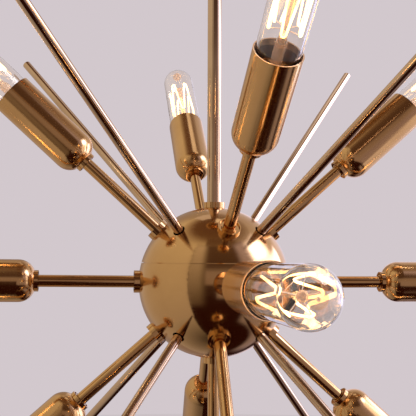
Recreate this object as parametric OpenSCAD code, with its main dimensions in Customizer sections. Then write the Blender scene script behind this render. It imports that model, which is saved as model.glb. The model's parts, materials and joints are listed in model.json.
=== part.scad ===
// Starburst pendant light: a brass ball on a stem, with lamp arms and plain rods all round it.
// The ceiling is the plane z = 0 and the light hangs below it, with the stem on the Z axis.
// An azimuth is measured anticlockwise from above, from the -Y side, which is the front.

/* [Ball] */
// Outside diameter of the ball
ball_d = 127; // [122:1:140]
// Wall of its two spun shells
shell_wall = 1.5; // [1.2:0.1:2]
// Height of the seam between the shells, above the ball's centre
seam_h = 16.5; // [15.5:0.5:20]
// Width of the seam's open gap
seam_gap = 0.7; // [0.3:0.1:1]
// How far the upper shell's lip reaches below the seam
lip_depth = 4.5; // [3:0.5:5]
// Wall of that lip
lip_wall = 1.2; // [0.8:0.1:1.5]
// Drop from the ceiling to the ball's centre
drop = 480; // [420:5:700]

/* [Lamp arms] */
// Outside diameter of an arm's tube
tube_d = 10; // [9:0.5:11]
// Bore of an arm's tube
tube_bore = 8; // [6:0.5:8]
// Bare length from the ball to the bottom of the cup
arm_len = 84.5; // [60:0.5:140]
// How far an arm's threaded end reaches inside the ball
arm_inset = 11.5; // [9:0.5:12]
// Latitudes at which the upper arms are drilled
upper_lat = [42.7, 41.5, 43.4, 42.6]; // [40:0.1:46]
// Latitudes at which the level arms are drilled
side_lat = [0.8, 0, 0, 0.5]; // [-2:0.1:2]
// Latitudes at which the lower arms are drilled, below the ball's middle
lower_lat = [41, 42, 43.4, 41]; // [40:0.1:46]
// Azimuths at which the upper arms are drilled
upper_az = [6, 90, 182, 270]; // [0:1:276]
// Azimuths at which the level arms are drilled
side_az = [-0.3, 90, 180, 270]; // [-2:0.1:276]
// Azimuths at which the lower arms are drilled
lower_az = [-3, 90, 177, 270]; // [-6:1:276]

/* [Collars and rings] */
// Diameter of the collars on the ball
collar_d = 18.6; // [17:0.2:20]
// Height of a collar above the ball
collar_h = 4; // [3:0.5:6]
// Diameter of the ring under each cup
ring_d = 17.6; // [16:0.2:19]
// Height of that ring below the cup's bottom
ring_h = 2.2; // [1.8:0.1:4]
// Depth of the recess in a collar or ring
recess_depth = 1.4; // [0.8:0.1:1.6]
// Width of the bright rim outside the recess
recess_rim = 0.9; // [0.6:0.1:1.4]
// Width of the boss between the recess and the tube
recess_boss = 1.2; // [0.8:0.1:1.4]

/* [Cups and lampholders] */
// Outside diameter of a cup
cup_d = 35; // [34.6:0.1:38]
// Length of a cup from its bottom to its mouth
cup_len = 82.5; // [78:0.5:96]
// Radius of the rounded edge of a cup's bottom
cup_round = 14; // [12:0.5:17]
// Wall of a cup
cup_wall = 1; // [0.6:0.1:1.1]
// Diameter of the lampholder's body
holder_d = 31; // [29.5:0.1:31.6]
// Height of the lampholder's floor above the cup's bottom
holder_floor = 43; // [38:0.5:46]
// Depth of the lampholder's socket
socket_depth = 23; // [20:0.5:25]
// Diameter of the lampholder's neck, on the arm's thread
neck_d = 14; // [13:0.5:16]
// Length of that neck
neck_len = 18; // [14:0.5:22]

/* [Lamps] */
// Diameter of the tubular glass
lamp_d = 31.8; // [30:0.1:32]
// Length of a lamp from its contact to its tip
lamp_len = 140; // [130:1:180]
// Diameter of the screw base
base_d = 26.2; // [26:0.1:26.6]
// Length of the screw base
base_len = 26; // [24:0.5:28]
// Length over which the glass swells above the base
swell_len = 20; // [16:1:26]
// Wall of the glass
glass_wall = 0.9; // [0.6:0.1:1.2]
// Number of loops of the filament
loops = 5; // [3:1:5]
// Diameter of the filament
filament_d = 1.6; // [1.4:0.1:2]
// Radius of the cage that the filament is strung on
cage_r = 11.5; // [9:0.5:12]

/* [Plain rods] */
// Diameter of a rod
rod_d = 8; // [7:0.5:9]
// Bare length of a rod outside the ball
rod_len = 266; // [200:2:300]
// Latitude of the rods, above and below the ball's middle
rod_lat = 42; // [40:1:44]
// Azimuth of the first rod, halfway between two arms
rod_az = 45; // [42:1:48]
// Gap round a rod where it enters the ball
rod_gap = 1.1; // [0.6:0.1:1.5]
// Diameter of the hub that the rods screw into
hub_d = 44; // [42:1:48]
// Height of the hub
hub_h = 36; // [35:1:38]
// Diameter of a rod's threaded spigot
spigot_d = 6; // [5:0.5:6]
// Length of that spigot
spigot_len = 7; // [5:0.5:8]

/* [Stem and swivel] */
// Outside diameter of the stem
stem_d = 12; // [11.6:0.1:13]
// Diameter of the threaded rod through the ball and of the nipple above
pipe_d = 10; // [9:0.5:10]
// Bore of that rod and nipple
pipe_bore = 6; // [5.5:0.1:6.5]
// How far the rod reaches up into the stem
pipe_in_stem = 16; // [12:1:30]
// Diameter of the swivel's yoke
yoke_d = 24; // [23:0.5:26]
// Width across the flats of the yoke's ears
yoke_flats = 22; // [20:0.5:22]
// Thickness of the swivel's tongue
tongue_t = 12; // [11:0.5:13]
// Width of the tongue
tongue_w = 16; // [15:0.5:17]
// Diameter of the swivel's two pivot screws
pin_d = 5; // [4:0.5:6]
// Height of the boss under the tongue
boss_h = 14; // [12:1:18]
// Diameter of that boss
boss_d = 18; // [16:0.5:20]

/* [Canopy and bracket] */
// Diameter of the canopy
canopy_d = 127; // [120:1:140]
// Depth of the canopy
canopy_h = 25; // [22:1:32]
// Radius of its edge
canopy_r = 16; // [10:1:20]
// Wall of the canopy
canopy_wall = 1.2; // [0.8:0.1:2]
// Length of the ceiling bracket
bracket_l = 108; // [104:1:112]
// Width of the ceiling bracket
bracket_w = 20; // [18:1:26]
// Thickness of the ceiling bracket
bracket_t = 2.5; // [2:0.5:3]
// Distance between the middles of the bracket's two slots
slot_pitch = 80; // [78:1:82]
// Length of a slot from end to end
slot_len = 16; // [12:1:18]
// Width of a slot
slot_w = 4.6; // [4:0.1:5]
// Diameter of the fluted nut under the canopy
ring_nut_d = 28; // [26:0.5:32]
// Height of that nut
ring_nut_h = 8; // [6:0.5:10]
// Number of flutes round it
flutes = 20; // [12:1:24]

/* [Hidden] */
$fn = 72;
thread_gap = 0.05; // round fits that are screwed together
turn_gap = 0.08; // running fits
socket_gap = 0.1; // screw base in its socket
seat_gap = 0.05; // curved seats
hole_gap = 0.2; // tubes through the shells and cups
face_gap = 0.3; // ends that stop short of each other

ball_r = ball_d / 2;
cup_r = cup_d / 2;
lamp_r = lamp_d / 2;
base_r = base_d / 2;

cup_pole = ball_r + arm_len; // a cup's bottom, from the ball's centre
arm_low = ball_r - arm_inset;
arm_end = cup_pole + cup_wall + 15; // an arm's outer end, inside the lampholder's neck

shell_r = ball_r - shell_wall; // inside of the shells
nut_flats = 15;
nut_h = 4;
nut_r = nut_flats / 2 / cos(30);
nut_face = sqrt(shell_r * shell_r - nut_r * nut_r) - seat_gap; // its corners bear on the shell
rod_low = arm_low - 1; // lower end of the centre rod, below the ball's centre
hub_seat = hub_d / 2 - 1; // flat that a rod's shoulder bears on
window_h = hub_h / 2 + 14; // windows in the centre rod, above and below the ball's centre

nut_under = canopy_h + ring_nut_h;
yoke_top = nut_under + face_gap;
slot_top = 12; // top of the yoke's slot above the pivot
pin_drop = yoke_top + slot_top + 10; // the pivot below the ceiling
ear_drop = 8.5; // yoke's ears below the pivot
boss_drop = 15; // boss below the pivot, clear of the ears' corners at any tilt
boss_floor = 4; // solid part of the boss above the stem
stem_top = pin_drop + boss_drop + boss_floor;

pocket = 8; // depth of the lamp base's pocket, in which the glass is cemented
cage_low = 57; // lower and upper bends of the filament, above the lamp's contact
cage_top = lamp_len - 33;
stem_rod_r = 2.2; // glass rod that carries the filament's hooks

NAMES = ["front", "right", "back", "left"];
// Name, azimuth, latitude and the turn at which the lamp came tight in its lampholder.
LAMPS = concat(
    [for (i = [0:3]) [str("upper_", NAMES[i]), upper_az[i], upper_lat[i], 12 + 28 * i]],
    [for (i = [0:3]) [str("side_", NAMES[i]), side_az[i], side_lat[i], 31 + 47 * i]],
    [for (i = [0:3]) [str("lower_", NAMES[i]), lower_az[i], -lower_lat[i], 12 + 61 * i]],
    [["bottom", 0, -90, 20]]);
RODS = [for (lat = [rod_lat, -rod_lat], i = [0:3]) [rod_az + 90 * i, lat]];

BRASS = [0.72, 0.52, 0.30];
STEEL = [0.62, 0.63, 0.65];
PHENOLIC = [0.10, 0.09, 0.09];
GLASS = [0.93, 0.90, 0.86, 0.35];
COPPER = [0.80, 0.55, 0.40];
TUNGSTEN = [1.00, 0.85, 0.55];

// A point at a distance from the ball's centre, along an azimuth and a latitude.
function polar(r, az, lat) = r * [cos(lat) * sin(az), -cos(lat) * cos(az), sin(lat)];

// Puts its children on the ball, with their Z axis pointing out along an azimuth and a latitude.
module outward(az, lat) {
    translate([0, 0, -drop])
        rotate([0, 90 - lat, az - 90])
            children();
}

module on_each_arm() {
    for (lamp = LAMPS)
        outward(lamp[1], lamp[2]) children();
}

// A round bar with a hole right through it.
module pipe(d, bore, h) {
    difference() {
        cylinder(d = d, h = h);
        translate([0, 0, -1]) cylinder(d = bore, h = h + 2);
    }
}

module hex_nut(bore, h) {
    difference() {
        cylinder(r = nut_r, h = h, $fn = 6);
        translate([0, 0, -1]) cylinder(d = bore, h = h + 2);
    }
}

// The outline of a flat bar or a slot with round ends.
module slot_outline(l, w) {
    square([l - w, w], center = true);
    for (side = [-1, 1])
        translate([side * (l - w) / 2, 0]) circle(d = w);
}

// A collar about the Z axis, cut by its child to the form of its seat, with its recess facing +Z.
module seat_collar(d, low, front, bore) {
    difference() {
        translate([0, 0, low]) cylinder(d = d, h = front - low);
        children();
        translate([0, 0, low]) cylinder(d = bore + 2 * thread_gap, h = front - low + 1);
        translate([0, 0, front - recess_depth])
            difference() {
                cylinder(d = d - 2 * recess_rim, h = recess_depth + 1);
                translate([0, 0, -1]) cylinder(d = bore + 2 * recess_boss, h = recess_depth + 3);
            }
    }
}

// Ceiling bracket: a flat crossbar with a slot for a screw at each end.
module ceiling_bracket() {
    color(STEEL)
        translate([0, 0, -bracket_t])
            linear_extrude(bracket_t)
                difference() {
                    slot_outline(bracket_l, bracket_w);
                    circle(d = pipe_d + 2 * thread_gap);
                    for (side = [-1, 1])
                        translate([side * slot_pitch / 2, 0]) slot_outline(slot_len, slot_w);
                }
}

// Nipple: threaded from the bracket down to the head that the yoke turns on, with its locknut.
module nipple() {
    head_h = 1.5;
    head_top = pin_drop - slot_top + turn_gap;
    color(STEEL) {
        translate([0, 0, -head_top]) pipe(pipe_d, pipe_bore, head_top);
        translate([0, 0, -head_top - head_h]) pipe(tongue_t - 2 * hole_gap, pipe_bore, head_h);
        translate([0, 0, -bracket_t - nut_h]) hex_nut(pipe_d + 2 * thread_gap, nut_h);
    }
}

// Canopy: a spun pan with a round edge, open towards the ceiling.
module canopy_outline(inset) {
    r = canopy_d / 2 - inset;
    h = canopy_h - inset;
    edge = canopy_r - inset;
    intersection() {
        square([r, h]);
        union() {
            square([r - edge, h]);
            square([r, h - edge]);
            translate([r - edge, h - edge]) circle(r = edge);
        }
    }
}

module canopy() {
    color(BRASS)
        mirror([0, 0, 1])
            difference() {
                rotate_extrude()
                    difference() {
                        canopy_outline(0);
                        canopy_outline(canopy_wall);
                    }
                cylinder(d = pipe_d + 2 * hole_gap, h = canopy_h + 1);
            }
}

module canopy_nut() {
    flute_r = 1.3;
    color(BRASS)
        translate([0, 0, -nut_under])
            difference() {
                cylinder(d = ring_nut_d, h = ring_nut_h);
                translate([0, 0, -1]) cylinder(d = pipe_d + 2 * thread_gap, h = ring_nut_h + 2);
                for (i = [0:flutes - 1])
                    rotate([0, 0, i * 360 / flutes])
                        translate([ring_nut_d / 2 + flute_r / 2, 0, -1])
                            cylinder(r = flute_r, h = ring_nut_h + 2, $fn = 24);
            }
}

// Swivel yoke: turns on the nipple, and holds the two pivot screws in its ears.
module swivel_yoke() {
    gap = tongue_t + 2 * turn_gap;
    color(BRASS)
        translate([0, 0, -pin_drop])
            difference() {
                translate([0, 0, -ear_drop]) cylinder(d = yoke_d, h = pin_drop + ear_drop - yoke_top);
                cylinder(d = pipe_d + 2 * turn_gap, h = pin_drop);
                translate([-gap / 2, -yoke_d, slot_top - 2 * yoke_d]) cube([gap, 2 * yoke_d, 2 * yoke_d]);
                for (side = [-1, 1])
                    translate([side * (yoke_flats + yoke_d) / 2, 0, 0])
                        cube([yoke_d, 2 * yoke_d, 2 * slot_top], center = true);
                rotate([0, 90, 0]) cylinder(d = pin_d + 2 * thread_gap, h = 2 * yoke_d, center = true);
            }
}

module swivel_pins() {
    head_d = pin_d + 3;
    head_h = 1.6;
    slit = 1;
    inner = pipe_bore / 2 + face_gap;
    color(STEEL)
        translate([0, 0, -pin_drop])
            for (side = [-90, 90])
                rotate([0, side, 0])
                    difference() {
                        union() {
                            translate([0, 0, inner]) cylinder(d = pin_d, h = yoke_flats / 2 - inner);
                            translate([0, 0, yoke_flats / 2]) cylinder(d = head_d, h = head_h);
                        }
                        translate([-head_d, -slit / 2, (yoke_flats + head_h) / 2])
                            cube([2 * head_d, slit, head_h]);
                    }
}

// Swivel tongue: an eye between the ears, with the boss that holds the stem and a way for the feed.
module swivel_tongue() {
    color(BRASS)
        translate([0, 0, -pin_drop])
            difference() {
                union() {
                    rotate([90, 0, 90])
                        linear_extrude(tongue_t, center = true) {
                            circle(d = tongue_w);
                            translate([-tongue_w / 2, -boss_drop - 1]) square([tongue_w, boss_drop + 1]);
                        }
                    translate([0, 0, -boss_drop - boss_h]) cylinder(d = boss_d, h = boss_h);
                }
                rotate([0, 90, 0]) cylinder(d = pin_d + 2 * turn_gap, h = 2 * tongue_t, center = true);
                cylinder(d = pipe_bore, h = 4 * boss_drop, center = true);
                translate([0, 0, -boss_drop - boss_h - 1])
                    cylinder(d = stem_d + 2 * thread_gap, h = boss_h - boss_floor + 1);
            }
}

// Stem: the tube from the swivel to the ball.
module stem() {
    h = drop - ball_r - stem_top;
    color(BRASS)
        translate([0, 0, -stem_top - h]) pipe(stem_d, pipe_d + 2 * thread_gap, h);
}

// The ball's form, which the collars are cut to.
module collar_seat() {
    sphere(r = ball_r + seat_gap);
}

module stem_collar() {
    color(BRASS)
        translate([0, 0, -drop]) seat_collar(collar_d, 0, ball_r + collar_h, stem_d) collar_seat();
}

// The ball's wall, before it is parted at the seam and drilled.
module ball_wall() {
    difference() {
        sphere(r = ball_r, $fn = 144);
        sphere(r = shell_r, $fn = 144);
    }
}

// Every hole through the wall: the stem's, the arms' and the rods'.
module ball_holes() {
    cylinder(d = pipe_d + 2 * hole_gap, h = ball_d);
    translate([0, 0, drop]) {
        on_each_arm()
            translate([0, 0, ball_r / 2]) cylinder(d = tube_d + 2 * hole_gap, h = ball_r);
        for (rod = RODS)
            outward(rod[0], rod[1])
                translate([0, 0, ball_r / 2]) cylinder(d = rod_d + 2 * rod_gap, h = ball_r);
    }
}

// Upper shell: the cap above the seam, with a lip that slips inside the lower shell.
module upper_shell() {
    lip_r = sqrt(shell_r * shell_r - seam_h * seam_h) - hole_gap;
    lip_h = lip_depth + 4;
    color(BRASS)
        translate([0, 0, -drop])
            difference() {
                union() {
                    difference() {
                        ball_wall();
                        translate([-ball_d, -ball_d, seam_h + seam_gap / 2 - 2 * ball_d])
                            cube([2 * ball_d, 2 * ball_d, 2 * ball_d]);
                    }
                    translate([0, 0, seam_h - lip_depth])
                        pipe(2 * lip_r, 2 * (lip_r - lip_wall), lip_h, $fn = 144);
                }
                ball_holes();
            }
}

// Lower shell: the rest of the ball.
module lower_shell() {
    color(BRASS)
        translate([0, 0, -drop])
            difference() {
                ball_wall();
                translate([-ball_d, -ball_d, seam_h - seam_gap / 2]) cube([2 * ball_d, 2 * ball_d, ball_d]);
                ball_holes();
            }
}

// Centre rod: hangs the ball from the stem, with windows that let the leads out to the arms.
module centre_rod() {
    window_l = 9;
    window_w = 4.4;
    color(STEEL)
        translate([0, 0, -drop])
            difference() {
                translate([0, 0, -rod_low]) pipe(pipe_d, pipe_bore, rod_low + ball_r + pipe_in_stem);
                for (side = [-1, 1], turn = [0, 90])
                    translate([0, 0, side * window_h])
                        rotate([0, 90, turn])
                            linear_extrude(2 * pipe_d, center = true) slot_outline(window_l, window_w);
            }
}

// Nuts inside the ball: one on each arm, one under the stem, and a long one that joins the
// bottom arm to the centre rod.
module inner_nuts() {
    grip = 10;
    bore = max(tube_d, pipe_d) + 2 * thread_gap;
    color(STEEL) {
        for (lamp = LAMPS) {
            h = lamp[0] == "bottom" ? nut_face - rod_low + grip : nut_h;
            outward(lamp[1], lamp[2])
                translate([0, 0, nut_face - h]) hex_nut(bore, h);
        }
        translate([0, 0, nut_face - nut_h - drop]) hex_nut(pipe_d + 2 * thread_gap, nut_h);
    }
}

// Hub at the middle of the ball, with a flat seat and a threaded hole for each rod.
module rod_hub() {
    color(STEEL)
        difference() {
            translate([0, 0, -drop])
                intersection() {
                    sphere(d = hub_d);
                    cylinder(d = 2 * hub_d, h = hub_h, center = true);
                }
            translate([0, 0, -drop]) cylinder(d = pipe_d + 2 * thread_gap, h = 2 * hub_h, center = true);
            for (rod = RODS)
                outward(rod[0], rod[1]) {
                    translate([0, 0, hub_seat]) cylinder(d = rod_d + 2 * hole_gap, h = hub_d);
                    translate([0, 0, hub_seat - spigot_len - face_gap])
                        cylinder(d = spigot_d + 2 * thread_gap, h = hub_d);
                }
        }
}

// Plain rods: solid, with a chamfered end and a spigot that screws into the hub.
module plain_rods() {
    tip = 0.8;
    rod_end = ball_r + rod_len;
    color(BRASS)
        for (rod = RODS)
            outward(rod[0], rod[1]) {
                translate([0, 0, hub_seat - spigot_len]) cylinder(d = spigot_d, h = spigot_len + 1);
                translate([0, 0, hub_seat]) cylinder(d = rod_d, h = rod_end - tip - hub_seat);
                translate([0, 0, rod_end - tip]) cylinder(d1 = rod_d, d2 = rod_d - 2 * tip, h = tip);
            }
}

// Lamp arms: tubes from inside the ball to inside the lampholders.
module lamp_arms() {
    color(BRASS)
        on_each_arm()
            translate([0, 0, arm_low]) pipe(tube_d, tube_bore, arm_end - arm_low);
}

module arm_collars() {
    color(BRASS)
        on_each_arm() seat_collar(collar_d, 0, ball_r + collar_h, tube_d) collar_seat();
}

// Half the outline of a cup: a bottom with a round edge, under a straight wall.
module cup_outline(inset) {
    flat_r = cup_r - cup_round;
    translate([0, inset]) square([flat_r, cup_len]);
    intersection() {
        translate([flat_r, cup_round]) circle(r = cup_round - inset, $fn = 96);
        translate([0, inset]) square([cup_r + 1, cup_round - inset]);
    }
    translate([0, cup_round]) square([cup_r - inset, cup_len - cup_round + inset]);
}

// Rings under the cups: the collar's form again, seated on a cup's bottom.
module cup_rings() {
    color(BRASS)
        on_each_arm()
            translate([0, 0, cup_pole])
                mirror([0, 0, 1])
                    seat_collar(ring_d, -cup_round, ring_h, tube_d)
                        mirror([0, 0, 1]) rotate_extrude() cup_outline(-seat_gap);
}

module cups() {
    color(BRASS)
        on_each_arm()
            translate([0, 0, cup_pole])
                difference() {
                    rotate_extrude()
                        difference() {
                            cup_outline(0);
                            cup_outline(cup_wall);
                        }
                    translate([0, 0, -1]) cylinder(d = tube_d + 2 * hole_gap, h = cup_r);
                }
}

// Lampholders: a neck that screws onto the arm, and a round body with the socket in its top.
module lampholders() {
    edge_r = cup_round - cup_wall;
    edge_x = max(0, neck_d / 2 - cup_r + cup_round);
    neck_low = cup_round - sqrt(edge_r * edge_r - edge_x * edge_x) + seat_gap; // rests on the cup's bottom
    body_low = cup_wall + neck_len;
    chamfer = 3;
    color(PHENOLIC)
        on_each_arm()
            translate([0, 0, cup_pole])
                difference() {
                    union() {
                        translate([0, 0, neck_low]) cylinder(d = neck_d, h = body_low - neck_low + chamfer);
                        translate([0, 0, body_low])
                            cylinder(d1 = holder_d - 2 * chamfer, d2 = holder_d, h = chamfer);
                        translate([0, 0, body_low + chamfer])
                            cylinder(d = holder_d, h = holder_floor + socket_depth - body_low - chamfer);
                    }
                    translate([0, 0, holder_floor]) cylinder(r = base_r + socket_gap, h = socket_depth + 1);
                    cylinder(d = tube_d + 2 * thread_gap, h = arm_end - cup_pole + face_gap);
                }
}

// Wiring: the feed down the stem and the centre rod, and a lead with a splice for each arm.
module lead(from, to, d) {
    way = to - from;
    translate(from)
        rotate([0, acos(way.z / norm(way)), atan2(way.y, way.x)])
            cylinder(d = d, h = norm(way));
}

module wiring() {
    arm_lead_d = 3.2;
    hub_lead_d = 1.6;
    splice_d = 7;
    splice_h = 12;
    feed_top = drop - pin_drop + tongue_w / 2;
    color(COPPER) {
        translate([0, 0, -drop - rod_low]) cylinder(d = pipe_bore - 2 * face_gap, h = rod_low + feed_top);
        for (lamp = LAMPS) {
            level = abs(lamp[2]) < rod_lat / 2;
            bottom = lamp[0] == "bottom";
            splice_low = hub_d / 2 + (level ? 12 : 6);
            lead_low = bottom ? rod_low - 1 : splice_low + splice_h - 1;
            outward(lamp[1], lamp[2]) {
                translate([0, 0, lead_low]) cylinder(d = arm_lead_d, h = arm_end + face_gap - lead_low);
                if (!bottom)
                    translate([0, 0, splice_low]) cylinder(d = splice_d, h = splice_h);
            }
            if (!bottom) {
                rise = level ? window_h + 0.5 : sign(lamp[2]) * (window_h + 3.5);
                inside_feed = polar(1.8, 90 * round(lamp[1] / 90), 0) + [0, 0, rise];
                translate([0, 0, -drop])
                    lead(polar(splice_low + 1, lamp[1], lamp[2]), inside_feed, hub_lead_d);
            }
        }
    }
}

// A lamp's own frame: Z runs from its contact to its tip.
module lamp_frame(lamp) {
    outward(lamp[1], lamp[2])
        translate([0, 0, cup_pole + holder_floor + face_gap])
            rotate([0, 0, lamp[3]])
                children();
}

// Lamp base: contact, insulating cone, thread and the pocket that holds the glass.
module lamp_base(lamp) {
    contact_r = 4.5;
    contact_h = 1.5;
    cone_top = 5;
    thread_depth = 0.8;
    thread_step = 1.8;
    pocket_r = base_r - 0.7;
    thread = [for (i = [0:6]) [base_r - thread_depth * (i % 2), cone_top + thread_step * i]];
    color(BRASS)
        lamp_frame(lamp)
            rotate_extrude()
                polygon(concat(
                    [[0, 0], [contact_r, 0], [contact_r, contact_h], [base_r - 3, cone_top - 1]],
                    thread,
                    [[base_r, base_len], [pocket_r, base_len], [pocket_r, base_len - pocket],
                     [0, base_len - pocket]]));
}

// Half the outline of a lamp's glass: a neck in the base's pocket, a swell of two arcs, a straight
// tube and a round tip.
module glass_outline(inset) {
    r = lamp_r - inset;
    neck_r = base_r - 0.8 - inset;
    neck_low = base_len - pocket + seat_gap;
    swell_low = base_len + 1;
    swell_mid = swell_low + swell_len / 2;
    swell_top = swell_low + swell_len;
    tip_low = lamp_len - lamp_r;
    step = r - neck_r;
    arc_r = (swell_len * swell_len + step * step) / (4 * step);
    translate([0, neck_low]) square([neck_r, swell_low - neck_low]);
    difference() {
        translate([0, swell_low]) square([neck_r + step / 2, swell_len / 2]);
        translate([neck_r + arc_r, swell_low]) circle(r = arc_r, $fn = 360);
    }
    intersection() {
        translate([0, swell_mid]) square([r, swell_len / 2]);
        translate([r - arc_r, swell_top]) circle(r = arc_r, $fn = 360);
    }
    translate([0, swell_top]) square([r, tip_low - swell_top]);
    intersection() {
        translate([0, tip_low]) circle(r = r, $fn = 96);
        translate([0, tip_low]) square([r, r]);
    }
}

// The glass stands round a stem: a flare in the neck, a tube, a pinch and a rod with a button on it.
module lamp_glass(lamp) {
    tube_r = 4;
    flare_h = 5;
    pinch_h = 6;
    button_h = 1.5;
    stem_low = base_len - pocket + seat_gap;
    pinch_top = cage_low - 4;
    button_low = cage_top + 2;
    color(GLASS)
        lamp_frame(lamp) {
            rotate_extrude()
                difference() {
                    glass_outline(0);
                    glass_outline(glass_wall);
                }
            rotate_extrude()
                polygon([[0, stem_low], [base_r - 3.5, stem_low], [tube_r, stem_low + flare_h],
                    [tube_r, pinch_top - pinch_h], [stem_rod_r, pinch_top], [stem_rod_r, button_low],
                    [stem_rod_r + 1, button_low + button_h], [stem_rod_r, button_low + 2 * button_h],
                    [0, button_low + 2 * button_h]]);
        }
}

// Filament: one wire strung up and down a cage of hooks. Even bends are the lower ones, and the
// wire's two ends reach a little below the first and the last hook.
BENDS = 2 * loops;
BEND_STEPS = [-90, -54, -18, 18, 54, 90];
BEND_R = 1.4;
function bend_angle(i) = (i - loops) * 168 / loops;
function bend_z(i) = i % 2 == 0 ? cage_low : cage_top;
function bend_point(i, t) =
    let (a = bend_angle(i) + asin(BEND_R / cage_r) * sin(t), lift = BEND_R * (1 - cos(t)))
    [cage_r * cos(a), cage_r * sin(a), bend_z(i) + (i % 2 == 0 ? lift : -lift)];
WIRE_TAIL = [0, 0, -2];
FILAMENT_PATH = concat(
    [bend_point(0, 0) + WIRE_TAIL],
    [for (i = [1:BENDS - 1], t = BEND_STEPS) bend_point(i, t)],
    [bend_point(BENDS, 0) + WIRE_TAIL]);

function unit(v) = v / norm(v);

// A faceted wire along a path that stays clear of the Z axis.
module swept_wire(path, d, sides) {
    n = len(path);
    rings = [for (i = [0:n - 1])
        let (way = unit(path[min(i + 1, n - 1)] - path[max(i - 1, 0)]),
             u = unit(cross(way, [path[i].x, path[i].y, 0])),
             w = cross(u, way))
        for (k = [0:sides - 1])
            path[i] + d / 2 * (cos(360 * k / sides) * u + sin(360 * k / sides) * w)];
    walls = [for (i = [0:n - 2], k = [0:sides - 1])
        let (a = i * sides + k, b = i * sides + (k + 1) % sides)
        each [[a, b, b + sides], [a, b + sides, a + sides]]];
    ends = [for (k = [1:sides - 2], last = [(n - 1) * sides])
        each [[0, k + 1, k], [last, last + k, last + k + 1]]];
    polyhedron(rings, concat(walls, ends));
}

module filament(lamp) {
    hook_d = 0.6;
    hook_low = stem_rod_r + seat_gap;
    color(TUNGSTEN)
        lamp_frame(lamp) {
            for (i = [0:BENDS])
                rotate([0, 0, bend_angle(i)])
                    translate([hook_low, 0, bend_z(i)])
                        rotate([0, 90, 0]) cylinder(d = hook_d, h = cage_r - hook_low, $fn = 16);
            swept_wire(FILAMENT_PATH, filament_d, 6);
        }
}

ceiling_bracket();
nipple();
canopy();
canopy_nut();
swivel_yoke();
swivel_pins();
swivel_tongue();
stem();
stem_collar();
upper_shell();
lower_shell();
centre_rod();
inner_nuts();
rod_hub();
plain_rods();
lamp_arms();
arm_collars();
cup_rings();
cups();
lampholders();
wiring();
for (lamp = LAMPS) {
    lamp_base(lamp);
    lamp_glass(lamp);
    filament(lamp);
}
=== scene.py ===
import json
import math

import bpy
from mathutils import Matrix, Vector

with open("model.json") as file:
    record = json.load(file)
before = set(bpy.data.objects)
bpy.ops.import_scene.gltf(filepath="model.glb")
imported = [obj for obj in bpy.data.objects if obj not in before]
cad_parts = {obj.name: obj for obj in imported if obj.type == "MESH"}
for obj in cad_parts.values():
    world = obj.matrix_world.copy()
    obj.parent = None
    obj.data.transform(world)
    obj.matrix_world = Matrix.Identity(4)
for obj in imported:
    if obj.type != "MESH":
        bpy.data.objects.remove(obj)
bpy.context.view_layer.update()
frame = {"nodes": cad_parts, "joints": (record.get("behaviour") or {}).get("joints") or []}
nodes = frame["nodes"]
scene = bpy.context.scene
scene.view_settings.view_transform = "Standard"

BALL = Vector((0.0, 0.0, -0.480))
BALL_R = 0.0635

# Camera: found from the photograph. The light hangs turned by TURN under it.
DISTANCE = 10.827 * BALL_R
HEIGHT = 0.395 * BALL_R
PICTURE_WIDTH = 416.0  # pixels
FOCAL = 809.0  # pixels
SENSOR = 36.0  # millimetres
PITCH = math.radians(3.143)
YAW = math.radians(-0.431)
ROLL = math.radians(0.206)
TURN = math.radians(8.34)

to_light = Matrix.Rotation(-TURN, 3, "Z")
forward = Vector((math.sin(YAW) * math.cos(PITCH), math.cos(YAW) * math.cos(PITCH), math.sin(PITCH)))
right = Vector((math.cos(YAW), -math.sin(YAW), 0.0))
up = right.cross(forward)
side = math.cos(ROLL) * right + math.sin(ROLL) * up
top = -math.sin(ROLL) * right + math.cos(ROLL) * up
forward, side, top = (to_light @ v for v in (forward, side, top))

camera_data = bpy.data.cameras.new("camera")
camera_data.sensor_width = SENSOR
camera_data.lens = SENSOR * FOCAL / PICTURE_WIDTH
camera_data.clip_start = 0.01
camera = bpy.data.objects.new("camera", camera_data)
scene.collection.objects.link(camera)
spot = BALL + to_light @ Vector((0.0, -DISTANCE, HEIGHT))
camera.matrix_world = Matrix.Translation(spot) @ Matrix((side, top, -forward)).transposed().to_4x4()
scene.camera = camera


# Materials


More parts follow.
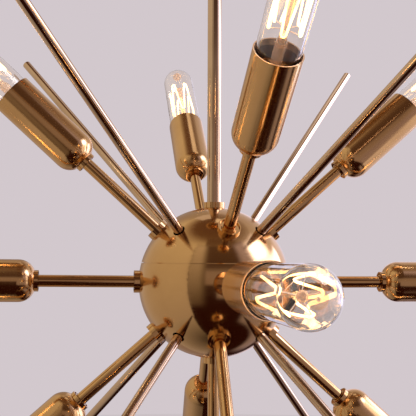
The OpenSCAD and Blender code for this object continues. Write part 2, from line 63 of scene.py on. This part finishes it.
class Shader:
    """A material's node tree, with short calls to add nodes and join them."""

    def __init__(self, name):
        self.material = bpy.data.materials.new(name)
        self.material.use_nodes = True
        self.tree = self.material.node_tree
        self.surface = self.tree.nodes["Principled BSDF"]
        self.output = self.tree.nodes["Material Output"]

    def node(self, kind, **values):
        made = self.tree.nodes.new(kind)
        for key, value in values.items():
            setattr(made, key, value)
        return made

    def join(self, source, target):
        self.tree.links.new(source, target)

    def put(self, target, value):
        if isinstance(value, bpy.types.NodeSocket):
            self.join(value, target)
        else:
            target.default_value = value

    def set(self, **values):
        for key, value in values.items():
            self.put(self.surface.inputs[key.replace("_", " ")], value)

    def place(self):
        return self.node("ShaderNodeTexCoord").outputs["Object"]

    def maths(self, operation, a, b=0.0, c=0.0, clamp=False):
        made = self.node("ShaderNodeMath", operation=operation, use_clamp=clamp)
        for socket, value in zip(made.inputs, (a, b, c)):
            self.put(socket, value)
        return made.outputs[0]

    def vector(self, operation, a, b=None):
        made = self.node("ShaderNodeVectorMath", operation=operation)
        self.put(made.inputs[0], a)
        if b is not None:
            self.put(made.inputs[3 if operation == "SCALE" else 1], b)
        return made.outputs["Value" if operation in ("LENGTH", "DOT_PRODUCT", "DISTANCE") else "Vector"]

    def noise(self, where, scale, detail=3.0, rough=0.55):
        made = self.node("ShaderNodeTexNoise")
        self.put(made.inputs["Vector"], where)
        made.inputs["Scale"].default_value = scale
        made.inputs["Detail"].default_value = detail
        made.inputs["Roughness"].default_value = rough
        return made.outputs["Fac"]

    def line_noise(self, along, scale, detail=2.0):
        """Noise that changes along one number only, for turned and drawn marks."""
        made = self.node("ShaderNodeTexNoise", noise_dimensions="1D")
        self.put(made.inputs["W"], along)
        made.inputs["Scale"].default_value = scale
        made.inputs["Detail"].default_value = detail
        return made.outputs["Fac"]

    def spread(self, value, low, high, out_low, out_high, kind="LINEAR"):
        """Maps low to out_low and high to out_high, and stays there beyond them."""
        made = self.node("ShaderNodeMapRange", interpolation_type=kind)
        self.put(made.inputs["Value"], value)
        for key, number in (("From Min", low), ("From Max", high), ("To Min", out_low), ("To Max", out_high)):
            made.inputs[key].default_value = number
        return made.outputs["Result"]

    def blend(self, factor, a, b):
        made = self.node("ShaderNodeMix", data_type="RGBA")
        self.put(made.inputs[0], factor)
        self.put(made.inputs[6], a)
        self.put(made.inputs[7], b)
        return made.outputs[2]

    def bump(self, height, distance, strength=1.0):
        made = self.node("ShaderNodeBump")
        self.put(made.inputs["Height"], height)
        made.inputs["Distance"].default_value = distance
        made.inputs["Strength"].default_value = strength
        self.join(made.outputs["Normal"], self.surface.inputs["Normal"])


def colour(r, g, b):
    return (r, g, b, 1.0)


BRASS = colour(0.72, 0.43, 0.175)
TARNISH = colour(0.56, 0.31, 0.115)
PALE_BRASS = colour(0.70, 0.49, 0.30)  # plain rods and stem
PALE_TARNISH = colour(0.52, 0.34, 0.19)
# Painted light: a paler brass on a cup's inner wall at its mouth, for the lamp's light falling there.
PAINTED_LIT_RIM = colour(0.95, 0.64, 0.42)  # inside of a cup, at its mouth
# Painted shade: a dark colour deeper in a cup, for the shade in its recess.
PAINTED_SHADE_DEEP = colour(0.28, 0.18, 0.145)  # inside of a cup, below that
CLEAR_GLASS = colour(1.0, 0.97, 0.93)
# Painted glow: the glass stem is milky, and its amber tint stands in for the hot wire's warm light in it.
MILKY_STEM_AMBER_GLOW = colour(1.0, 0.76, 0.56)
WIRE_HEAT = colour(1.0, 0.57, 0.18)
WIRE_WHITE_HEAT = colour(1.0, 0.70, 0.32)
HOOK_STEEL = colour(0.50, 0.43, 0.38)
HOOK_GLOW = colour(0.02, 0.008, 0.002)
WIRE_GLOW = 4.5
GLASS_IOR = 1.46
HOOK_END = 0.0104  # from a lamp's own axis to where its dark hooks end and the hot wire begins
STEM_END = 0.0048  # from the same axis to just outside the lamp's glass stem
CUP_WALL = 0.0170  # from the same axis to the middle of the cup's wall
CUP_BOTTOM = 0.1850  # from the ball's middle to where the cups' round bottoms have ended
PAINTED_SHADE_END = 0.2263  # from the ball's middle to where the painted shade inside the cups ends
SOFT_EDGE = 0.0003  # width over which one finish turns into the next
SATIN_ROUGH = 0.33
LEAST_ROUGH = 0.03
STEM_CLEAR = 0.86  # share of the light that a glass stem lets straight through
AXIS_BACK = -0.2  # keeps the distance from a lamp's axis large on the lamps across the ball
CLOUD_SCALE = 26.0  # of the hand polish
SPOT_SCALE = 190.0  # of the tarnish
LAMP_JOINTS = [joint for joint in frame["joints"] if joint["name"].startswith("unscrew_")]


def from_ball(shader, where):
    """Distance from the ball's middle: along an arm it runs with the arm, whichever way that points."""
    return shader.vector("DISTANCE", where, tuple(BALL))


def height_of(shader, where):
    split = shader.node("ShaderNodeSeparateXYZ")
    shader.join(where, split.inputs[0])
    return split.outputs["Z"]


def off_axis(shader, where, joint):
    """Distance from the axis of a lamp, which is the axis of the joint that it unscrews on.

    Far behind the lamp it grows along the axis too, so that it stays large on the lamps across the ball."""
    arm = shader.vector("SUBTRACT", where, tuple(joint["pos_m"]))
    along = shader.vector("DOT_PRODUCT", arm, tuple(joint["axis"]))
    foot = shader.vector("SCALE", tuple(joint["axis"]), along)
    behind = shader.maths("MULTIPLY", along, AXIS_BACK)
    return shader.maths("MAXIMUM", shader.vector("DISTANCE", arm, foot), behind)


def inside_cups(shader, where):
    """1 on the inside of the cups, which lies nearer than CUP_WALL to a lamp's axis, and 0 elsewhere."""
    nearest = 1.0
    for joint in LAMP_JOINTS:
        nearest = shader.maths("MINIMUM", off_axis(shader, where, joint), nearest)
    return shader.spread(nearest, CUP_WALL - 0.0001, CUP_WALL + 0.0001, 1.0, 0.0)


def brass(name, rough, marks=None, mark_scale=1.0, mark_depth=0.0, tarnish=0.5, cloudy=0.05, pale=False,
          painted_cup_inside=False):
    """Polished brass: cloudy hand polish, a little tarnish and, on turned and spun pieces, their fine marks.

    A cup is satin inside, with painted light of paler brass at its mouth and painted shade of a dark colour
    below it."""
    shader = Shader(name)
    where = shader.place()
    cloud = shader.noise(where, CLOUD_SCALE, 4.0)
    spots = shader.noise(where, SPOT_SCALE, 5.0, 0.65)
    dull = shader.spread(cloud, 0.42, 0.72, 0.0, tarnish)
    specks = shader.spread(spots, 0.64, 0.76, 0.0, 0.35)
    bright, stained = (PALE_BRASS, PALE_TARNISH) if pale else (BRASS, TARNISH)
    skin = shader.blend(shader.maths("MAXIMUM", dull, specks), bright, stained)
    haze = shader.spread(cloud, 0.35, 0.75, -0.4 * cloudy, cloudy)
    if marks is None:
        wear = shader.spread(spots, 0.35, 0.7, -0.01, 0.02)
        shader.bump(shader.noise(where, 30.0, 1.0), 0.00003, 0.5)
    else:
        along = marks(shader, where)
        fine = shader.line_noise(along, mark_scale, 3.0)
        broad = shader.line_noise(along, mark_scale / 7.0, 2.0)
        wear = shader.spread(fine, 0.35, 0.7, -0.02, 0.03)
        relief = shader.maths("ADD", shader.maths("MULTIPLY", broad, 0.6),
                              shader.maths("MULTIPLY", fine, 0.4))
        shader.bump(relief, mark_depth)
    total = shader.maths("ADD", shader.maths("ADD", wear, haze), rough)
    total = shader.maths("MAXIMUM", total, LEAST_ROUGH)
    # Painted light and shade inside the cups: paler brass at the mouth, then dark painted shade deeper in.
    if painted_cup_inside:
        depth = from_ball(shader, where)
        above_bottom = shader.spread(depth, CUP_BOTTOM, CUP_BOTTOM + SOFT_EDGE, 0.0, 1.0)
        inside = shader.maths("MULTIPLY", inside_cups(shader, where), above_bottom)
        painted_shade_mask = shader.spread(depth, PAINTED_SHADE_END - SOFT_EDGE, PAINTED_SHADE_END, 1.0, 0.0)
        skin = shader.blend(inside, skin, PAINTED_LIT_RIM)
        skin = shader.blend(shader.maths("MULTIPLY", inside, painted_shade_mask), skin, PAINTED_SHADE_DEEP)
        total = shader.maths("MULTIPLY_ADD", inside, SATIN_ROUGH - rough, total)
    shader.set(Base_Color=skin, Metallic=1.0, Roughness=total)
    return shader.material


def mottled(name, base, other, rough, scale, metallic, depth, clear=0.0):
    """Plated steel, moulded plastic or insulation: mottled colour and roughness over a shallow grain."""
    shader = Shader(name)
    where = shader.place()
    cloud = shader.noise(where, scale, 4.0)
    grain = shader.noise(where, scale * 9.0, 3.0, 0.6)
    shader.set(Base_Color=shader.blend(shader.spread(cloud, 0.35, 0.7, 0.0, 1.0), base, other),
               Metallic=metallic, Coat_Weight=clear)
    shader.set(Roughness=shader.spread(grain, 0.3, 0.75, rough * 0.8, rough * 1.3))
    shader.bump(grain, depth)
    return shader.material


def glass(lamp, joint):
    """Clear blown glass with a faint ripple and a milky stem, tinted amber as a painted glow of the hot wire,
    which lets the lamps' light through.
    """
    shader = Shader("glass_" + lamp)
    where = shader.place()
    stem = shader.spread(off_axis(shader, where, joint), STEM_END, STEM_END + 0.0004, 1.0, 0.0)
    shader.set(Base_Color=shader.blend(stem, CLEAR_GLASS, MILKY_STEM_AMBER_GLOW), Roughness=0.0, IOR=GLASS_IOR,
               Transmission_Weight=shader.spread(stem, 0.0, 1.0, 1.0, STEM_CLEAR))
    shader.bump(shader.noise(where, 45.0, 2.0), 0.00010)
    open_way = shader.node("ShaderNodeBsdfTransparent")
    shaded = shader.node("ShaderNodeMixShader")
    shader.join(shader.node("ShaderNodeLightPath").outputs["Is Shadow Ray"], shaded.inputs[0])
    shader.join(shader.surface.outputs[0], shaded.inputs[1])
    shader.join(open_way.outputs[0], shaded.inputs[2])
    shader.join(shaded.outputs[0], shader.output.inputs["Surface"])
    return shader.material


def glowing_wire(lamp, joint):
    """Hot wire, whiter in places, on dark hooks that reach out from the middle of the lamp."""
    shader = Shader("filament_" + lamp)
    where = shader.place()
    mottle = shader.noise(where, 60.0, 3.0)
    heat = shader.blend(shader.spread(mottle, 0.40, 0.62, 0.0, 1.0), WIRE_HEAT, WIRE_WHITE_HEAT)
    hot = shader.spread(off_axis(shader, where, joint), HOOK_END, HOOK_END + SOFT_EDGE, 0.0, 1.0)
    shader.set(Base_Color=shader.blend(hot, HOOK_STEEL, heat), Roughness=0.45,
               Emission_Color=shader.blend(hot, HOOK_GLOW, heat), Emission_Strength=WIRE_GLOW)
    shader.material.cycles.emission_sampling = "FRONT_BACK"
    return shader.material


ball_brass = brass("ball_brass", 0.12, height_of, 900.0, 0.000011, tarnish=0.35, cloudy=0.07)
tube_brass = brass("tube_brass", 0.10, tarnish=0.5)
rod_brass = brass("rod_brass", 0.08, tarnish=0.55, pale=True)
stem_brass = brass("stem_brass", 0.07, tarnish=0.55, pale=True)
cup_brass = brass("cup_brass", 0.16, from_ball, 1400.0, 0.000004, tarnish=0.4, painted_cup_inside=True)
collar_brass = brass("collar_brass", 0.08, tarnish=0.4)
canopy_brass = brass("canopy_brass", 0.12, height_of, 900.0, 0.000006, tarnish=0.4)
zinc = mottled("zinc_steel", colour(0.55, 0.56, 0.58), colour(0.42, 0.43, 0.46),
               rough=0.34, scale=60.0, metallic=1.0, depth=0.00003)
phenolic = mottled("phenolic", colour(0.022, 0.016, 0.015), colour(0.040, 0.028, 0.025),
                   rough=0.28, scale=90.0, metallic=0.0, depth=0.00003, clear=0.3)
insulation = mottled("wire_insulation", colour(0.60, 0.57, 0.52), colour(0.50, 0.47, 0.42),
                     rough=0.45, scale=120.0, metallic=0.0, depth=0.00003)
base_brass = mottled("lamp_base", colour(0.84, 0.50, 0.22), colour(0.68, 0.38, 0.15),
                     rough=0.24, scale=110.0, metallic=1.0, depth=0.00002)

FINISH = {
    "ceiling_bracket": zinc, "nipple": zinc, "canopy": canopy_brass, "canopy_nut": canopy_brass,
    "swivel_yoke": stem_brass, "swivel_pins": stem_brass, "swivel_tongue": stem_brass,
    "stem": stem_brass, "stem_collar": collar_brass, "upper_shell": ball_brass, "lower_shell": ball_brass,
    "centre_rod": zinc, "inner_nuts": zinc, "rod_hub": zinc, "plain_rods": rod_brass,
    "lamp_arms": tube_brass, "arm_collars": collar_brass, "cup_rings": collar_brass, "cups": cup_brass,
    "lampholders": phenolic, "wiring": insulation,
}
for joint in LAMP_JOINTS:
    lamp = joint["name"].removeprefix("unscrew_")
    FINISH["lamp_base_" + lamp] = base_brass
    FINISH["lamp_glass_" + lamp] = glass(lamp, joint)
    FINISH["filament_" + lamp] = glowing_wire(lamp, joint)

for name, obj in nodes.items():
    material = FINISH[name]
    if not obj.material_slots:
        obj.data.materials.append(material)
    for slot in obj.material_slots:
        slot.link = "OBJECT"
        slot.material = material


# Studio

WALL = colour(0.645, 0.578, 0.610)
DAYLIGHT = colour(0.80, 0.78, 0.78)
DAYLIGHT_STRENGTH = 0.75
FLOOR = colour(0.66, 0.60, 0.62)
FLOOR_Z = -2.36
FLOOR_PALENESS = 0.8  # how far the camera sees the floor as the wall's colour
ROOM_RADIUS = 1.85
LAYER_STEP = 0.01  # how much nearer each layer of boards hangs


def studio_world():
    """Soft light all round; the camera, the brass and the glass see the wall's colour instead."""
    world = bpy.data.worlds.new("studio")
    scene.world = world
    world.use_nodes = True
    tree = world.node_tree
    tree.nodes.clear()

    def background(tint, strength):
        made = tree.nodes.new("ShaderNodeBackground")
        made.inputs["Color"].default_value = tint
        made.inputs["Strength"].default_value = strength
        return made.outputs[0]

    def larger(a, b):
        made = tree.nodes.new("ShaderNodeMath")
        made.operation = "MAXIMUM"
        tree.links.new(a, made.inputs[0])
        tree.links.new(b, made.inputs[1])
        return made.outputs[0]

    rays = tree.nodes.new("ShaderNodeLightPath").outputs
    seen = larger(larger(rays["Is Camera Ray"], rays["Is Glossy Ray"]), rays["Is Transmission Ray"])
    choice = tree.nodes.new("ShaderNodeMixShader")
    tree.links.new(seen, choice.inputs[0])
    tree.links.new(background(DAYLIGHT, DAYLIGHT_STRENGTH), choice.inputs[1])
    tree.links.new(background(WALL, 1.0), choice.inputs[2])
    world_out = tree.nodes.new("ShaderNodeOutputWorld")
    tree.links.new(choice.outputs[0], world_out.inputs["Surface"])


def toward(azimuth, elevation):
    """A direction from the ball: azimuth 0 is toward the camera, and it grows toward the picture's right."""
    a, e = math.radians(azimuth), math.radians(elevation)
    local = Vector((math.sin(a) * math.cos(e), -math.cos(a) * math.cos(e), math.sin(e)))
    return to_light @ local


def board(name, azimuths, elevations, low, high=None, strength=1.0, layer=0, soft=(0, 0, 0, 0)):
    """A curved studio board round the light, which only the brass and the glass mirror.

    Its colour runs from low at its bottom edge to high at its top edge. It fades out over soft degrees
    inside its left, right, bottom and top edges, and a higher layer hangs in front of a lower one."""
    across, down = 24, 12
    radius = ROOM_RADIUS - LAYER_STEP * layer
    points, faces, places = [], [], []
    for j in range(down + 1):
        e = elevations[0] + (elevations[1] - elevations[0]) * j / down
        for i in range(across + 1):
            a = azimuths[0] + (azimuths[1] - azimuths[0]) * i / across
            points.append(BALL + radius * toward(a, e))
            places.append((a, e))
    for j in range(down):
        for i in range(across):
            k = j * (across + 1) + i
            faces.append((k, k + 1, k + across + 2, k + across + 1))
    mesh = bpy.data.meshes.new(name)
    mesh.from_pydata(points, [], faces)
    degrees = mesh.uv_layers.new(name="degrees")
    for loop in mesh.loops:
        degrees.uv[loop.index].vector = places[loop.vertex_index]
    obj = bpy.data.objects.new(name, mesh)
    scene.collection.objects.link(obj)
    shader = Shader(name)
    shader.tree.nodes.remove(shader.surface)
    split = shader.node("ShaderNodeSeparateXYZ")
    shader.join(shader.node("ShaderNodeTexCoord").outputs["UV"], split.inputs[0])
    azimuth, elevation = split.outputs["X"], split.outputs["Y"]
    emission = shader.node("ShaderNodeEmission")
    rise = shader.spread(elevation, elevations[0], elevations[1], 0.0, 1.0)
    shader.join(shader.blend(rise, colour(*low), colour(*(high or low))), emission.inputs["Color"])
    emission.inputs["Strength"].default_value = strength
    edges = ((azimuth, azimuths[0], soft[0]), (azimuth, azimuths[1], -soft[1]),
             (elevation, elevations[0], soft[2]), (elevation, elevations[1], -soft[3]))
    shown = emission.outputs[0]
    for value, edge, width in edges:
        if width:
            fade = shader.node("ShaderNodeMixShader")
            shader.join(shader.spread(value, edge, edge + width, 0.0, 1.0, "SMOOTHSTEP"), fade.inputs[0])
            shader.join(shader.node("ShaderNodeBsdfTransparent").outputs[0], fade.inputs[1])
            shader.join(shown, fade.inputs[2])
            shown = fade.outputs[0]
    shader.join(shown, shader.output.inputs["Surface"])
    shader.material.cycles.emission_sampling = "FRONT_BACK" if strength > 1.0 else "NONE"
    mesh.materials.append(shader.material)
    obj.visible_camera = False
    obj.visible_diffuse = False
    obj.visible_transmission = False
    obj.visible_shadow = False


studio_world()

# The room that the brass mirrors: a pale wall on the left, the dark side that the camera stands on,
# a bright window wall on the right with a pale panel over it, and a dim ceiling and floor.
board("ceiling", (-180, 180), (68, 90), (0.16, 0.09, 0.055), (0.12, 0.06, 0.04))
board("left_cove", (-152, -20), (55, 68), (0.62, 0.54, 0.44), (0.18, 0.10, 0.06))
board("front_cove", (-20, 68), (55, 68), (0.17, 0.11, 0.08), (0.13, 0.07, 0.045))
board("right_cove", (50, 185), (52, 68), (0.42, 0.35, 0.35), (0.16, 0.09, 0.055),
      layer=1, soft=(16, 0, 0, 0))
board("back_left", (-175, -130), (-46, 55), (0.30, 0.23, 0.21), (0.42, 0.35, 0.30))
board("left_wall", (-158, -38.4), (-46, 55), (0.42, 0.36, 0.34), (0.68, 0.60, 0.49),
      layer=1, soft=(22, 0, 0, 0))
board("left_floor", (-182, -40), (-90, -46), (0.01, 0.0, 0.0), (0.42, 0.37, 0.35))
board("front_low", (-40, 185), (-90, -14), (0.020, 0.004, 0.002), (0.030, 0.008, 0.005))
board("front_wall", (-40, 70), (-24, 55), (0.035, 0.014, 0.010), (0.11, 0.065, 0.048),
      layer=1, soft=(0, 0, 10, 0))
board("right_wall", (64, 185), (-30, 28), (0.72, 0.66, 0.80), (1.02, 0.94, 1.12),
      layer=1, soft=(8, 0, 6, 10))
board("right_high", (60, 185), (18, 55), (0.74, 0.66, 0.70), (0.52, 0.46, 0.48))
board("overhead", (60, 185), (66, 84), (0.98, 0.90, 0.93), layer=4, soft=(55, 0, 4, 6))
board("left_corner", (-37.6, -8), (-36, 57), (0.07, 0.04, 0.03), (0.58, 0.50, 0.44),
      layer=2, soft=(0, 16, 8, 4))
board("front_glow", (-16, 64), (-4, 26), (0.28, 0.21, 0.20), (0.30, 0.24, 0.24),
      layer=2, soft=(6, 0, 4, 12))
board("front_right", (2, 46), (-24, 8), (0.30, 0.24, 0.26), (0.31, 0.25, 0.27),
      layer=3, soft=(5, 0, 6, 6))
board("right_corner", (38, 76), (-24, 57), (0.30, 0.24, 0.30), (0.46, 0.40, 0.58),
      layer=3, soft=(14, 8, 6, 6))
board("right_low", (46, 170), (-56, -34), (0.26, 0.22, 0.27), (0.36, 0.31, 0.40),
      layer=2, soft=(18, 20, 8, 6))
board("window", (64, 120), (18, 54), (0.95, 1.02, 1.60), strength=5.5, layer=6, soft=(14, 26, 14, 14))
board("window_side", (64, 96), (-16, 26), (1.25, 1.18, 1.36), (1.70, 1.64, 2.00),
      layer=4, soft=(5, 0, 6, 6))
board("window_low", (88, 134), (-14, 26), (0.90, 0.95, 1.50), strength=3.5, layer=5, soft=(5, 5, 4, 6))


def floor():
    """A plain round floor. The camera sees it nearly as pale as the wall, so that its far edge is faint."""
    radius, corners = 9.0, 128
    turns = [math.tau * i / corners for i in range(corners)]
    points = [(radius * math.cos(turn), radius * math.sin(turn), FLOOR_Z) for turn in turns]
    mesh = bpy.data.meshes.new("floor")
    mesh.from_pydata(points, [], [tuple(range(corners))])
    obj = bpy.data.objects.new("floor", mesh)
    scene.collection.objects.link(obj)
    shader = Shader("floor")
    shader.set(Base_Color=FLOOR, Roughness=0.85)
    pale = shader.node("ShaderNodeEmission")
    pale.inputs["Color"].default_value = WALL
    shown = shader.node("ShaderNodeMixShader")
    seen = shader.node("ShaderNodeLightPath").outputs["Is Camera Ray"]
    shader.join(shader.maths("MULTIPLY", seen, FLOOR_PALENESS), shown.inputs[0])
    shader.join(shader.surface.outputs[0], shown.inputs[1])
    shader.join(pale.outputs[0], shown.inputs[2])
    shader.join(shown.outputs[0], shader.output.inputs["Surface"])
    shader.material.cycles.emission_sampling = "NONE"
    mesh.materials.append(shader.material)


def softbox(name, azimuth, elevation, distance, size, power, tint=(1.0, 0.97, 0.95)):
    """A soft square lamp that faces the ball and isn't mirrored."""
    data = bpy.data.lights.new(name, "AREA")
    data.shape = "SQUARE"
    data.size = size
    data.energy = power
    data.color = tint
    obj = bpy.data.objects.new(name, data)
    scene.collection.objects.link(obj)
    away = toward(azimuth, elevation)
    facing = away.to_track_quat("Z", "Y").to_matrix().to_4x4()
    obj.matrix_world = Matrix.Translation(BALL + distance * away) @ facing
    obj.visible_camera = False
    obj.visible_glossy = False


floor()
softbox("key", azimuth=70, elevation=50, distance=2.2, size=1.2, power=45.0)
softbox("fill", azimuth=-60, elevation=40, distance=2.4, size=1.6, power=20.0)
